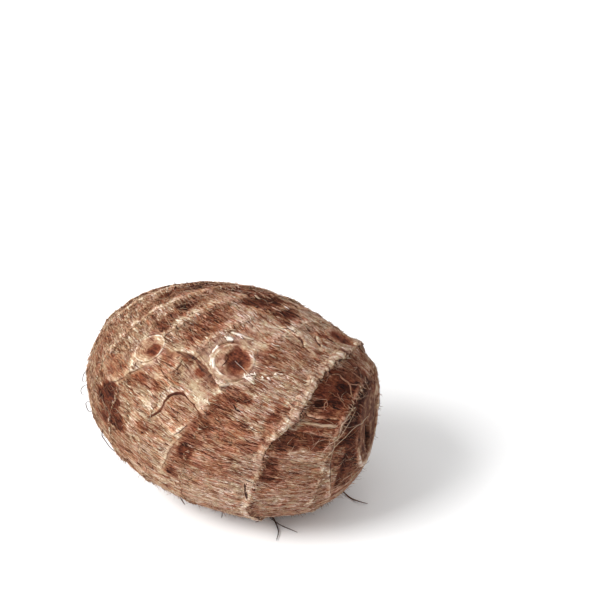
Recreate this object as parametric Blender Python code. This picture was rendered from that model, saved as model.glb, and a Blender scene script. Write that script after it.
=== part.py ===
"""Taro corm: one small, bent, ringed corm of taro, lying on its side.

The corm is a unit sphere carried along a bent spine. Every point of the sphere keeps its
place along the spine, and its place in the cross section is scaled by the half width there.
The surface then gets the low relief that leaves and buds left on it, and a small flat is
cut under it where it rests. Units are metres, +Z is up, and the origin is on the floor
under the middle of the corm.
"""

import math

import bmesh
import bpy
from mathutils import Euler, Vector

# Spine: an arc, with the broad crown end at +1 along it and the tip at -1
SPINE_BEND_DEG = 68.0        # angle that the arc turns through, end to end
SPINE_RADIUS = 0.057         # from the centre of the bend to the middle of the spine
SPINE_SWAY = 0.013           # the crown end swings out by this much, the tip end in

# Cross section
HALF_WIDTH = 0.031           # half width at the middle of the spine
CROWN_FULLNESS = 0.24        # how much fuller the crown end is than the tip end
END_BLUNTNESS = 0.26         # how blunt both ends are
THICKNESS_RATIO = 0.99       # thickness over width

# Relief on the skin
SCARS_DEG = (                # leaf scars, as angles from the crown pole
    17.0, 31.0, 43.0, 55.0, 66.0, 78.0, 91.0, 114.0, 134.0, 155.0, 168.0,
)
SCAR_RISE = 0.0005           # each leaf base rises to its lip by this much, then steps down
BIG_SCAR_DEG = 114.0         # the scar whose lip stands highest
BIG_SCAR_RISE = 0.0011
BUDS_DEG = (                 # (angle from the crown pole, angle round the spine)
    (87.0, 62.0),
    (66.0, 40.0),
    (107.0, 116.0),
    (74.0, 172.0),
    (112.0, 222.0),
)
BUD_RADIUS = 0.005
BUD_RISE = 0.0009
CROWN_DISH_RADIUS = 0.011
CROWN_DISH_DEPTH = 0.0012
TIP_DISH_RADIUS = 0.0065
TIP_DISH_DEPTH = 0.0012

# How it lies
LIE_DEG = (13.0, 5.0, 46.0)  # turned about X, then Y, then Z
FOOT_DEPTH = 0.0014          # how deep the resting flat is cut into the round underside

# Mesh
ROUND_SEGMENTS = 64
LONG_SEGMENTS = 48

CORM_COLOUR = (0.30, 0.17, 0.10, 1.0)
CORM_ROUGHNESS = 0.8


def clear_scene():
    """Remove every object, so that the script starts from an empty scene."""
    for old in list(bpy.data.objects):
        bpy.data.objects.remove(old, do_unlink=True)


def new_collection(name):
    """Return a new collection, linked to the scene."""
    collection = bpy.data.collections.new(name)
    bpy.context.scene.collection.children.link(collection)
    return collection


def skin_material():
    """Return the brown, dull material of the corm's skin."""
    material = bpy.data.materials.new("corm_skin")
    material.use_nodes = True
    shader = material.node_tree.nodes["Principled BSDF"]
    shader.inputs["Base Color"].default_value = CORM_COLOUR
    shader.inputs["Roughness"].default_value = CORM_ROUGHNESS
    shader.inputs["Metallic"].default_value = 0.0
    material.diffuse_color = CORM_COLOUR
    return material


def on_bent_body(unit):
    """Carry a point of the unit sphere onto the smooth bent body.

    unit.z runs along the spine, unit.x across it in the plane of the bend, and unit.y is
    square to that plane. The centre of the bend is at the origin.
    """
    along = unit.z
    turn = -math.radians(SPINE_BEND_DEG) / 2.0 * along
    half_width = HALF_WIDTH * (1.0 + CROWN_FULLNESS * along + END_BLUNTNESS * along ** 2)
    reach = SPINE_RADIUS + SPINE_SWAY * along + half_width * unit.x
    lift = THICKNESS_RATIO * half_width * unit.y
    return Vector((-math.cos(turn) * reach, -math.sin(turn) * reach, lift))


def scar_relief(from_crown_deg):
    """Height of the leaf bases: each rises to a lip at its scar and steps down past it."""
    for start, lip in zip(SCARS_DEG, SCARS_DEG[1:]):
        if start < from_crown_deg <= lip:
            rise = BIG_SCAR_RISE if lip == BIG_SCAR_DEG else SCAR_RISE
            return rise * ((from_crown_deg - start) / (lip - start)) ** 2
    return 0.0


def dome(distance, radius, height):
    """Height of a smooth round dome at a distance from its middle."""
    if distance >= radius:
        return 0.0
    return height * math.cos(math.pi / 2.0 * distance / radius) ** 2


def unit_point(from_crown_deg, round_deg):
    """Point of the unit sphere at two angles: from the crown pole, and round the spine."""
    polar = math.radians(from_crown_deg)
    azimuth = math.radians(round_deg)
    return Vector((math.sin(polar) * math.cos(azimuth),
                   math.sin(polar) * math.sin(azimuth),
                   math.cos(polar)))


def skin_relief(unit, point, buds, crown, tip):
    """Height of the whole relief at one point, along the surface's outward normal."""
    from_crown_deg = math.degrees(math.acos(max(-1.0, min(1.0, unit.z))))
    height = scar_relief(from_crown_deg)
    for bud in buds:
        height += dome((point - bud).length, BUD_RADIUS, BUD_RISE)
    height -= dome((point - crown).length, CROWN_DISH_RADIUS, CROWN_DISH_DEPTH)
    height -= dome((point - tip).length, TIP_DISH_RADIUS, TIP_DISH_DEPTH)
    return height


def stand_on_floor(mesh):
    """Sink the underside by FOOT_DEPTH below the floor, and centre the body over the origin."""
    lowest = Vector(min(vert.co[axis] for vert in mesh.verts) for axis in range(3))
    highest = Vector(max(vert.co[axis] for vert in mesh.verts) for axis in range(3))
    middle = (lowest + highest) / 2.0
    bmesh.ops.translate(mesh, verts=mesh.verts[:],
                        vec=Vector((-middle.x, -middle.y, -lowest.z - FOOT_DEPTH)))


def make_corm(collection):
    """Build the whole corm, round underside included, and return its object."""
    mesh = bmesh.new()
    bmesh.ops.create_uvsphere(mesh, u_segments=ROUND_SEGMENTS, v_segments=LONG_SEGMENTS,
                              radius=1.0)
    units = [vert.co.copy() for vert in mesh.verts]
    for vert in mesh.verts:
        vert.co = on_bent_body(vert.co)
    bmesh.ops.recalc_face_normals(mesh, faces=mesh.faces[:])
    mesh.normal_update()

    buds = [on_bent_body(unit_point(*place)) for place in BUDS_DEG]
    crown = on_bent_body(Vector((0.0, 0.0, 1.0)))
    tip = on_bent_body(Vector((0.0, 0.0, -1.0)))
    heights = [skin_relief(unit, vert.co, buds, crown, tip)
               for unit, vert in zip(units, mesh.verts)]
    normals = [vert.normal.copy() for vert in mesh.verts]
    for vert, normal, height in zip(mesh.verts, normals, heights):
        vert.co += normal * height

    lie = Euler([math.radians(angle) for angle in LIE_DEG], 'XYZ')
    bmesh.ops.rotate(mesh, verts=mesh.verts[:], cent=Vector(), matrix=lie.to_matrix())
    stand_on_floor(mesh)

    data = bpy.data.meshes.new("corm")
    mesh.to_mesh(data)
    mesh.free()
    data.shade_smooth()
    corm = bpy.data.objects.new("corm", data)
    corm.data.materials.append(skin_material())
    collection.objects.link(corm)
    return corm


def cut_foot(corm, collection):
    """Cut the small flat that the corm rests on, with a block whose top is the floor."""
    side = 0.12
    depth = 0.02
    data = bpy.data.meshes.new("foot_cutter")
    mesh = bmesh.new()
    bmesh.ops.create_cube(mesh, size=1.0)
    bmesh.ops.scale(mesh, verts=mesh.verts[:], vec=Vector((side, side, depth)))
    bmesh.ops.translate(mesh, verts=mesh.verts[:], vec=Vector((0.0, 0.0, -depth / 2.0)))
    mesh.to_mesh(data)
    mesh.free()
    cutter = bpy.data.objects.new("foot_cutter", data)
    collection.objects.link(cutter)
    cutter.display_type = 'WIRE'
    cutter.hide_render = True

    cut = corm.modifiers.new("foot", 'BOOLEAN')
    cut.operation = 'DIFFERENCE'
    cut.solver = 'EXACT'
    cut.object = cutter


clear_scene()
parts = new_collection("taro_corm")
cutters = new_collection("cutters")
cut_foot(make_corm(parts), cutters)
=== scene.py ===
import math

import bpy
import numpy as np
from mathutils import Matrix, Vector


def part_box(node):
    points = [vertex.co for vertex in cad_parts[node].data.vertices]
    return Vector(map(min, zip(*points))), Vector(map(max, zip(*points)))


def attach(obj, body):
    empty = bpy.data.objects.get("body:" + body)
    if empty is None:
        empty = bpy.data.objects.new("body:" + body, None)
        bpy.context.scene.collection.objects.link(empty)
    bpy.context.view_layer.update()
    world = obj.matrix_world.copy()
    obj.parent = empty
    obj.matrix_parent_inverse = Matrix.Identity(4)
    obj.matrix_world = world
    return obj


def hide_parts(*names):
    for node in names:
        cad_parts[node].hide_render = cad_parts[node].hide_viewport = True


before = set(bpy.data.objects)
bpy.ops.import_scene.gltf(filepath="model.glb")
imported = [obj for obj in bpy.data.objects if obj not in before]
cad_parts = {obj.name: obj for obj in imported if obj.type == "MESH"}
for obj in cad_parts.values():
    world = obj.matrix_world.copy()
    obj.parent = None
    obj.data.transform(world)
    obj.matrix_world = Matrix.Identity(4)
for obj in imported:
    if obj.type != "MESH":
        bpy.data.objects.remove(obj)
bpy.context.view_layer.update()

# --- Camera ----------------------------------------------------------------------------
# It looks down at the lying corm from the front, level with the horizon from side to
# side, and aims past the corm's upper right so that the corm lies low and left.
CAMERA_DISTANCE = 0.50
CAMERA_RISE_DEG = 35.0
CAMERA_LENS_MM = 108.75
AIM_IN_BOX = (0.7252, 0.8827, 0.8023)    # shares of the corm's box, from its lowest corner

low, high = (np.array(corner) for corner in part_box("corm"))
box_size = high - low
aim = low + box_size * AIM_IN_BOX
rise = math.radians(CAMERA_RISE_DEG)

camera = bpy.data.objects.new("camera", bpy.data.cameras.new("camera"))
bpy.context.scene.collection.objects.link(camera)
camera.data.lens = CAMERA_LENS_MM
camera.data.sensor_width = 36.0
camera.location = aim + CAMERA_DISTANCE * np.array((0.0, -math.cos(rise), math.sin(rise)))
camera.rotation_euler = (math.pi / 2.0 - rise, 0.0, 0.0)
camera.data.clip_start = 0.01
camera.data.clip_end = 20.0
bpy.context.scene.camera = camera

# --- Skin ------------------------------------------------------------------------------
# The corm is one swollen stem, wrapped in the bases of its old leaves. Each leaf base is a
# matted brown sheath that thickens to a pale torn lip, where the leaf broke away.
# Places on it are two angles: from the crown pole (crown_deg) and round the spine (round_deg).
MM = 0.001

SPINE_BEND_DEG = 68.0        # angle that the bent spine turns through, end to end
SPINE_RADIUS = 57.0 * MM     # from the centre of the bend to the middle of the spine
SPINE_SWAY = 13.0 * MM       # the crown end swings out by this much, the tip end in
HALF_WIDTH = 31.0 * MM       # half width at the middle of the spine
CROWN_FULLNESS = 0.24        # how much fuller the crown end is than the tip end
END_BLUNTNESS = 0.26         # how blunt both ends are
THICKNESS_RATIO = 0.99       # thickness over width
MEAN_RADIUS_MM = 30.0
LIE_DEG = (13.0, 5.0, 46.0)  # how it lies: turned about X, then Y, then Z
BEND_IN_BOX = (1.0833, 1.2331, 0.3686)   # centre of the bend, in shares of the corm's box

RINGS_DEG = np.array((17.0, 31.0, 43.0, 55.0, 66.0, 78.0, 91.0, 114.0, 134.5))
RING_RISE_MM = np.array((0.9, 0.8, 0.5, 0.5, 0.5, 0.3, 0.25, 1.1, 0.5))
RING_WANDER_DEG = np.array((2.6, 2.6, 1.6, 1.0, 1.0, 2.0, 2.5, 0.5, 0.8))
RING_FADE = np.array((0.2, 0.3, 0.6, 0.75, 0.95, 0.9, 0.9, 0.60, 0.5))
RING_SHARP = np.array((0.8, 0.7, 0.35, 0.20, 0.20, 0.15, 0.10, 1.0, 0.5))
BIG_RING = 7                 # its lip stands highest, and bends where the next line says:
BIG_RING_BENDS = ((80.0, 25.0, 0.8), (107.0, 15.0, 2.2), (51.0, 11.0, 2.5), (27.0, 14.0, -1.7),
                  (0.0, 10.0, -1.2), (334.0, 12.0, -2.0))   # way round, spread, degrees to the tip

SKIN_ROWS = 280
SKIN_COLUMNS = 330


def lattice_noise(places, cell, seed):
    """Smooth noise from -1 to 1: a random value at each corner of a cubic lattice.

    places is (..., 3). Between corners the values are mixed with 3t^2 - 2t^3 along each axis.
    """
    table = np.random.default_rng(seed).uniform(-1.0, 1.0, (64, 64, 64))
    scaled = np.asarray(places) / cell
    corner = np.floor(scaled).astype(int)
    part = scaled - corner
    blend = part * part * (3.0 - 2.0 * part)
    total = np.zeros(scaled.shape[:-1])
    for step in np.ndindex(2, 2, 2):
        at = (corner + step) & 63
        weight = np.prod(np.where(step, blend, 1.0 - blend), axis=-1)
        total += weight * table[at[..., 0], at[..., 1], at[..., 2]]
    return total


def layered_noise(places, cell, seed, layers=3):
    """Sum of lattice noises, each with half the cell and half the height of the last."""
    total = sum(lattice_noise(places, cell / 2 ** n, seed + n) / 2 ** n for n in range(layers))
    return total / (2.0 - 0.5 ** (layers - 1))


def smooth_step(start, end, value):
    """0 up to start, 1 from end on, and 3t^2 - 2t^3 in between."""
    t = np.clip((value - start) / (end - start), 0.0, 1.0)
    return t * t * (3.0 - 2.0 * t)


def turned(x_deg, y_deg, z_deg):
    """Matrix of a turn about X, then Y, then Z."""
    (cx, sx), (cy, sy), (cz, sz) = ((math.cos(math.radians(a)), math.sin(math.radians(a)))
                                    for a in (x_deg, y_deg, z_deg))
    about_x = np.array(((1, 0, 0), (0, cx, -sx), (0, sx, cx)))
    about_y = np.array(((cy, 0, sy), (0, 1, 0), (-sy, 0, cy)))
    about_z = np.array(((cz, -sz, 0), (sz, cz, 0), (0, 0, 1)))
    return about_z @ about_y @ about_x


def on_body(crown_deg, round_deg):
    """Points of the smooth bent body.

    A unit sphere's point keeps its place along the spine, which is an arc, and its place
    in the cross section is scaled by the half width there: 1 + fullness z + bluntness z^2.
    """
    polar = np.radians(crown_deg)
    azimuth = np.radians(round_deg)
    along = np.cos(polar) + 0.0 * azimuth
    turn = -math.radians(SPINE_BEND_DEG) / 2.0 * along
    half_width = HALF_WIDTH * (1.0 + CROWN_FULLNESS * along + END_BLUNTNESS * along ** 2)
    reach = SPINE_RADIUS + SPINE_SWAY * along + half_width * np.sin(polar) * np.cos(azimuth)
    lift = THICKNESS_RATIO * half_width * np.sin(polar) * np.sin(azimuth)
    bent = np.stack((-np.cos(turn) * reach, -np.sin(turn) * reach, lift), axis=-1)
    return bent @ turned(*LIE_DEG).T + low + box_size * BEND_IN_BOX


def unit(vectors):
    """Vectors scaled to length 1."""
    return vectors / np.maximum(np.linalg.norm(vectors, axis=-1, keepdims=True), 1e-12)


def grid_normals(points):
    """Outward normals of a grid of points: the cross product of its two differences.

    Rows run from crown to tip and columns close round the spine. Each pole takes the mean
    of the normals in the row beside it.
    """
    down = np.gradient(points, axis=0)
    across = np.roll(points, -1, axis=1) - np.roll(points, 1, axis=1)
    normals = unit(np.cross(down, across))
    normals[0] = unit(normals[1].mean(axis=0))
    normals[-1] = unit(normals[-2].mean(axis=0))
    return normals


crown_deg, round_deg = np.meshgrid(np.linspace(0.0, 180.0, SKIN_ROWS + 1),
                                   np.arange(SKIN_COLUMNS) * 360.0 / SKIN_COLUMNS, indexing="ij")
body = on_body(crown_deg, round_deg)
body_normals = grid_normals(body)
mm_per_crown_deg = np.linalg.norm(on_body(crown_deg + 0.5, round_deg)
                                  - on_body(crown_deg - 0.5, round_deg), axis=-1) / MM
mm_per_round_deg = np.linalg.norm(on_body(crown_deg, round_deg + 0.5)
                                  - on_body(crown_deg, round_deg - 0.5), axis=-1) / MM
off_poles = np.clip(3.0 * np.sin(np.radians(crown_deg)), 0.0, 1.0)   # 0 at both poles, 1 elsewhere


def near_deg(around_deg, middle, spread):
    """1 at one angle round the spine, falling off on both sides as a bell curve."""
    away = np.mod(around_deg - middle + 180.0, 360.0) - 180.0
    return np.exp(-(away / spread) ** 2)


def circle(around_deg, radius, level):
    """Points of a circle about an upright line, so that noise read there closes round."""
    angle = np.radians(around_deg)
    return np.stack((radius * np.cos(angle), radius * np.sin(angle), 0.0 * angle + level), axis=-1)


def lip_deg(ring, around_deg):
    """Angle from the crown at which a leaf base's lip runs: its ring, wandering a little."""
    places = circle(around_deg, MEAN_RADIUS_MM * math.sin(math.radians(RINGS_DEG[ring])), 9.7 * ring)
    wander = layered_noise(places, 16.0, 31, 2) + 0.35 * layered_noise(places, 2.4, 37, 2)
    bend = sum(degrees * near_deg(around_deg, way, spread) for way, spread, degrees in BIG_RING_BENDS)
    return RINGS_DEG[ring] + RING_WANDER_DEG[ring] * wander + (ring == BIG_RING) * bend


def lip_strength(ring, around_deg):
    """How much of a lip is left, from 0 to 1: it fades low on the outer side of the bend,
    and comes and goes with smooth noise elsewhere."""
    left = 0.85 + 0.5 * layered_noise(circle(around_deg, 20.0, 5.3 * ring), 9.0, 41, 2)
    left += 0.25 * near_deg(around_deg, 65.0, 30.0)
    return np.clip(left, 0.15, 1.0) * (1.0 - RING_FADE[ring] * near_deg(around_deg, 0.0, 32.0))


def fibre_place(crown, around, stretch):
    """Places where one step along the fibres counts for 1 / stretch of a step across them.

    The fibres run from crown to tip, swaying by a few degrees. Units are millimetres.
    """
    sway = 5.0 * lattice_noise(on_body(crown, around), 14.0 * MM, 5)
    return circle(around + sway, MEAN_RADIUS_MM, crown * 0.9 / stretch)


def flat_map(crown, around, turn_deg, reach_mm=24.0):
    """Where every skin point lies in the flat map about one place, in mm: along, across.

    Along points to the tip, turned by turn_deg towards rising round_deg. What lies further
    off than the reach, and so on another side of the corm, is put far away.
    """
    centre = on_body(crown, around)
    to_tip = unit(on_body(crown + 1.0, around) - on_body(crown - 1.0, around))
    to_side = on_body(crown, around + 1.0) - on_body(crown, around - 1.0)
    to_side = unit(to_side - to_tip * (to_side @ to_tip))
    offset = (body - centre) / MM
    first, second = offset @ to_tip, offset @ to_side
    turn = math.radians(turn_deg)
    far = 1000.0 * (np.linalg.norm(offset, axis=-1) > reach_mm)
    return (first * math.cos(turn) + second * math.sin(turn) + far,
            second * math.cos(turn) - first * math.sin(turn) + far)


# Tone runs from 0, nearly black maroon, to 1, pale straw. Red turns a tone towards rust.
# Bare is where the fibre coat has worn off, and gloss is where scar tissue shines.
coat_place = fibre_place(crown_deg, round_deg, 4.0)
stain = smooth_step(0.0, 0.35, layered_noise(fibre_place(crown_deg, round_deg, 2.5), 3.0, 18, 4))
tone = 0.70 - 0.12 * stain
tone += 0.10 * layered_noise(coat_place, 2.2, 11, 3) + 0.05 * layered_noise(body, 7.0 * MM, 12, 2)
# Painted light: a little paler low on the outer side, from the middle to the tip, where the white floor's
# bounce lights it.
tone += 0.06 * near_deg(round_deg, 350.0, 38.0) * smooth_step(72.0, 84.0, crown_deg)
red = 0.10 + 0.45 * stain + 0.25 * layered_noise(body, 6.0 * MM, 13, 2)
red += 0.15 * layered_noise(coat_place, 1.5, 14, 1)
bare = 0.0 * crown_deg
gloss = 0.0 * crown_deg
height_mm = 0.30 * layered_noise(body, 13.0 * MM, 15, 2) + 0.18 * layered_noise(body, 4.0 * MM, 16, 2)
grooves = layered_noise(fibre_place(crown_deg, round_deg, 5.0), 2.0, 17, 2)
height_mm += 0.12 * np.sin(np.radians(crown_deg)) * grooves

# The leaf bases: each thickens towards its lip and is palest there. Just past the lip the skin
# is darker: partly the next one's dark tissue coming out from under it, partly painted shade
# under the lip.
for ring, rise_mm in enumerate(RING_RISE_MM):
    lip = lip_deg(ring, round_deg)
    before = lip_deg(ring - 1, round_deg) if ring else 0.0 * lip
    share = np.clip((crown_deg - before) / (lip - before), 0.0, 1.0)
    under = 1.0 - smooth_step(0.0, 1.1, crown_deg - lip)
    strength = lip_strength(ring, round_deg)
    sharp = RING_SHARP[ring]
    behind_mm = (lip - crown_deg) * mm_per_crown_deg
    swelling = np.exp(-((behind_mm - 0.6) / 1.7) ** 2)
    height_mm += rise_mm * strength * (sharp * share ** 2 * under + (1.0 - sharp) * swelling)
    band = np.exp(-((behind_mm - 0.8) / (2.5 - 0.6 * sharp)) ** 2)
    band *= 1.0 + 0.6 * layered_noise(body, 2.0 * MM, 33 + ring, 3)
    tone += (0.24 - 0.06 * sharp) * strength * band
    # Painted shade with the next base's dark tissue: darker just past the lip, most under sharp lips.
    tone -= (0.06 + 0.08 * sharp) * strength * np.where(behind_mm < 0.0, np.exp(behind_mm / 1.4), 0.0)

# Worn, stained and swollen patches: centre, half length and half width in mm, turn, then
# tone, red, bare and rise in mm. A turn of 90 lies round the corm.
PATCHES = (
    # crown, round, long, wide, turn,  tone,  red, bare, rise
    (48, 68, 2.6, 13, 0, 0.46, 0.5, 0, -0.25),  # matted brown between ridges
    (61, 60, 2.2, 11, 0, 0.44, 0.55, 0, -0.25),
    (72, 66, 3.2, 8, 0, 0.54, 0.6, 0, 0),
    (40, 96, 12, 12, 0, 0.25, 0.65, 0, 0),  # painted shade: darker and browner over the top
    (70, 102, 9, 6, 0, 0.25, 0.65, 0, 0),
    (47, 25, 5, 5, 0, 0.6, 0.45, 0, 0),
    (64, 3.5, 6.6, 6.6, 0, 0.25, 1, 0.45, -0.1),  # dark red at the left
    (70, 357, 2.4, 3, 0, 0.4, 0.9, 0, 0),
    (87, 58, 8, 6.2, 20, 0.54, 0.15, 0.9, 0.3),  # pale scar round the big bud
    (86, 74, 5, 4, 0, 0.67, 0.15, 0.6, 0.1),
    (91, 72.5, 3, 2.2, 0, 0.72, 0, 0.8, 0),
    (83, 86, 5.5, 3.2, 40, 0.76, 0.05, 0.3, 0),
    (98, 93, 5.2, 3, 15, 0.76, 0.1, 0.6, 0.3),
    (82.5, 43, 5.6, 3.8, -15, 0.66, 0, 0.7, -0.1),  # worn scale beside it
    (88, 36, 2.6, 2.6, 0, 0.7, 0, 0.8, 0),
    (83, 46, 1.7, 1.1, 0, 0.46, 1, 0.9, 0),  # rust spot on it
    (84, 25, 4, 3.2, 0, 0.67, 0.25, 0, 0.1),  # fibres inside the arch
    (66, 31, 3.2, 2.4, 0, 0.72, 0.1, 0.8, 0),  # pale by the small bud
    (61, 23, 4.9, 4.2, 0, 0.54, 0.45, 0.6, 0.45),  # smooth tongue
    (75.5, 19.5, 2.7, 1.2, 0, 0.8, 0.1, 0.7, 0.15),
    (73.8, 5.5, 3.3, 1.2, 82, 0.78, 0.1, 0.6, 0.15),
    (77.5, 6, 2, 3, 0, 0.58, 0.65, 0, -0.1),
    (73, 33, 1.8, 1.2, 0, 0.74, 0, 0.9, 0.1),
    (70, 27, 2.6, 1.8, 0, 0.5, 0.8, 0.2, 0),  # rust between them
    (76, 29, 2, 1.5, 0, 0.52, 0.7, 0.2, 0),
    (72.5, 43, 3, 2, 0, 0.6, 0.5, 0.1, 0),
    (77.5, 47.5, 1.6, 1, 0, 0.46, 0.8, 0.3, 0),
    (96, 46, 3.6, 3.2, 0, 0.44, 0.6, 0.1, -0.1),  # dark row
    (94.5, 37, 3, 3, 0, 0.46, 0.6, 0.1, -0.1),
    (93, 27, 2.8, 3.4, 0, 0.46, 0.6, 0.1, -0.1),
    (92, 15, 3, 3.6, 0, 0.44, 0.6, 0.1, -0.1),
    (91.5, 7, 2.6, 3.2, 0, 0.29, 0.85, 0.6, -0.1),
    (91, 359, 2.6, 2.6, 0, 0.5, 0.6, 0.1, -0.1),
    (89, 348, 2.6, 3.6, 0, 0.5, 0.6, 0.1, -0.1),
    (100, 6, 5.4, 3.8, 7, 0.62, 0.65, 0, 0),  # rusty fibres past the row
    (100, 25, 5.8, 4.6, 0, 0.61, 0.7, 0, 0),
    (98, 68, 5, 3.6, 10, 0.61, 0.5, 0, 0),
    (104, 78, 4, 3, 0, 0.66, 0.35, 0, 0),
    (100, 62, 5, 3, 0, 0.74, 0.2, 0, 0),
    (106, 68, 4, 3, 0, 0.76, 0.15, 0, 0),
    (108, 57, 4.4, 4.6, 0, 0.76, 0.1, 0, 0),
    (104, 47, 3.9, 3.9, 0, 0.73, 0.1, 0, 0),
    (110, 40, 1.6, 9, 0, 0.6, 0.75, 0, 0),  # rusty edge before the big lip
    (122, 74, 6, 5.5, 0, 0.36, 0.9, 0.6, -0.1),  # maroon end
    (132, 64, 8, 8.7, 0, 0.36, 0.95, 0.5, 0),
    (137, 88, 8, 6, 0, 0.34, 0.95, 0.6, 0),
    (148, 60, 8, 9, 0, 0.32, 0.75, 0.5, 0),
    (147, 92, 8, 7, 0, 0.26, 0.9, 0.6, 0),
    (126, 94, 5, 4, 0, 0.5, 0.45, 0.2, 0),  # greyer fibres above the maroon
    (121, 60.5, 1.5, 1.3, 32, 0.14, 0.6, 1, -0.6),  # little pit in it
    (116, 31, 5, 2.8, 0, 0.3, 0.3, 0.6, -0.2),
    (125, 38, 7, 3.4, 0, 0.42, 0.7, 0.4, 0),
    (125, 5, 8.5, 7, 0, 0.67, 0.3, 0.1, 0.1),  # tan below it
    (116, 10, 2.4, 4, 0, 0.4, 0.6, 0.2, -0.1),
    (146, 40, 4, 8, 0, 0.4, 0.7, 0.4, 0),
    (145, 12, 1.2, 6.5, 0, 0.26, 0.7, 0.6, -0.3),  # dark fold before the tip's rim
    (149, 18, 3.6, 6, 0, 0.46, 0.7, 0.4, 0),
    (151, 0, 4, 4, 0, 0.52, 0.55, 0.2, 0),
    (92, 328, 16, 9, 0, 0.8, 0.2, 0, 0),  # painted light: paler towards the underside, lit by the white floor's bounce
    (104, 340, 9, 7, 0, 0.8, 0.15, 0, 0),
    (122, 335, 8, 8, 0, 0.76, 0.25, 0, 0),
)
for crown, around, long_mm, wide_mm, turn, patch_tone, patch_red, patch_bare, patch_rise in PATCHES:
    along, across = flat_map(crown, around, turn)
    ragged = 0.55 * layered_noise(coat_place, 1.1, int(crown), 3)
    ragged += 0.45 * layered_noise(fibre_place(crown_deg, round_deg, 2.0), 2.6, int(crown) + 7, 1)
    ragged *= min(1.0, 0.15 + long_mm * wide_mm / 16.0)
    inside = 1.0 - smooth_step(0.75, 1.05, np.hypot(along / long_mm, across / wide_mm) + ragged)
    tone += inside * (patch_tone + 0.55 * (tone - 0.65) - tone)
    red += inside * (patch_red - red)
    bare = np.maximum(bare, patch_bare * inside)
    height_mm += patch_rise * inside

# Torn sheath edges: the places that each runs through, in crown_deg and round_deg, with the
# sheath that stands higher on its left. Then its height and the width of its open side, in mm,
# and the dark tone of that side: the crevice's own dark, deepened with painted shade under the
# higher sheath.
SHEATH_EDGES = (
    (((72, 47), (74, 49.5), (78, 51.5), (81.5, 51), (85, 49.5), (88, 47), (91, 43.5)),
     0.45, 1.5, 0.31),
    (((79.3, 15), (80, 20.5), (79.8, 25.5), (80.6, 30.5), (83.3, 33.6), (87, 32), (90, 30), (94, 28)),
     0.18, 0.5, 0.36),
    (((55, 17), (58, 14), (61, 13.5), (64, 18), (66, 25), (69, 34)), 0.2, 0.3, 0.48),
    (((79.3, 16), (81.8, 14.8), (84.1, 13.7), (86.5, 12)), 0.2, 0.3, 0.36),
    (((86.5, 11.5), (88, 16.5), (89, 21.5)), 0.25, 0.3, 0.26),
    (((76, 37), (77, 42), (76, 47)), 0.3, 0.25, 0.46),
    (((85.8, 346), (86.8, 357), (87.4, 5), (88.4, 11), (89.4, 17)), 0.1, 0.3, 0.56),
    (((117, 54), (119, 51), (123, 51), (127, 53), (132, 54)), 0.18, 0.3, 0.24),
    (((120, 40), (123, 41), (128, 41), (135, 42)), 0.15, 0.3, 0.24),
    (((112, 22), (116, 21), (121, 22), (126, 22), (131, 24)), 0.15, 0.25, 0.3),
    (((110.5, 1), (111, 355), (112, 349), (111.5, 344)), 0.12, 0.4, 0.14),
    (((92, 91), (97, 91), (101, 88), (105, 86)), 0.25, 0.4, 0.24),
    (((98, 101), (102, 97), (106, 93)), 0.25, 0.4, 0.24),
    (((143, 340), (140, 3), (137, 18), (135.5, 30)), 0.3, 0.45, 0.38),
    (((83, 150), (86, 158), (86, 167), (83, 173)), 0.35, 0.5, 0.24),
    (((92, 196), (96, 204), (96, 214), (92, 222)), 0.3, 0.45, 0.24),
    (((60, 236), (64, 246), (63, 256)), 0.3, 0.45, 0.24),
    (((100, 262), (103, 272), (101, 284), (96, 290)), 0.3, 0.45, 0.24),
    (((124, 150), (127, 162), (125, 176)), 0.3, 0.45, 0.24),
    (((50, 118), (53, 128), (52, 138)), 0.3, 0.45, 0.24),
    (((36, 200), (40, 218), (38, 236)), 0.35, 0.6, 0.24),
    (((24, 30), (28, 60), (25, 84)), 0.35, 0.6, 0.24),
    (((46, 296), (50, 310), (48, 324)), 0.3, 0.45, 0.24),
)


def smooth_path(places, step=0.0, count=0):
    """Points evenly apart along a smooth curve through a few places, as one list per value.

    They are a step apart in mm, or as many as count. Between two places the curve is the
    Catmull-Rom cubic of the four nearest ones.
    """
    knots = np.array(places, float)
    knots[:, 1] = np.unwrap(knots[:, 1], period=360.0)
    knots = np.concatenate((2 * knots[:1] - knots[1:2], knots, 2 * knots[-1:] - knots[-2:-1]))
    before, start, end, after = knots[:-3], knots[1:-2], knots[2:-1], knots[3:]
    t = np.linspace(0.0, 1.0, 12, endpoint=False)[None, :, None]
    before, start, end, after = (k[:, None] for k in (before, start, end, after))
    curve = 0.5 * (2 * start + (end - before) * t + (2 * before - 5 * start + 4 * end - after) * t ** 2
                   + (3 * start - before - 3 * end + after) * t ** 3)
    curve = np.concatenate((curve.reshape(-1, knots.shape[1]), knots[-2:-1]))
    lengths = np.linalg.norm(np.diff(on_body(curve[:, 0], curve[:, 1]), axis=0), axis=-1) / MM
    travelled = np.concatenate(([0.0], np.cumsum(lengths)))
    at = np.linspace(0.0, travelled[-1], count or max(4, int(travelled[-1] / step)))
    return [np.interp(at, travelled, values) for values in curve.T]


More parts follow.
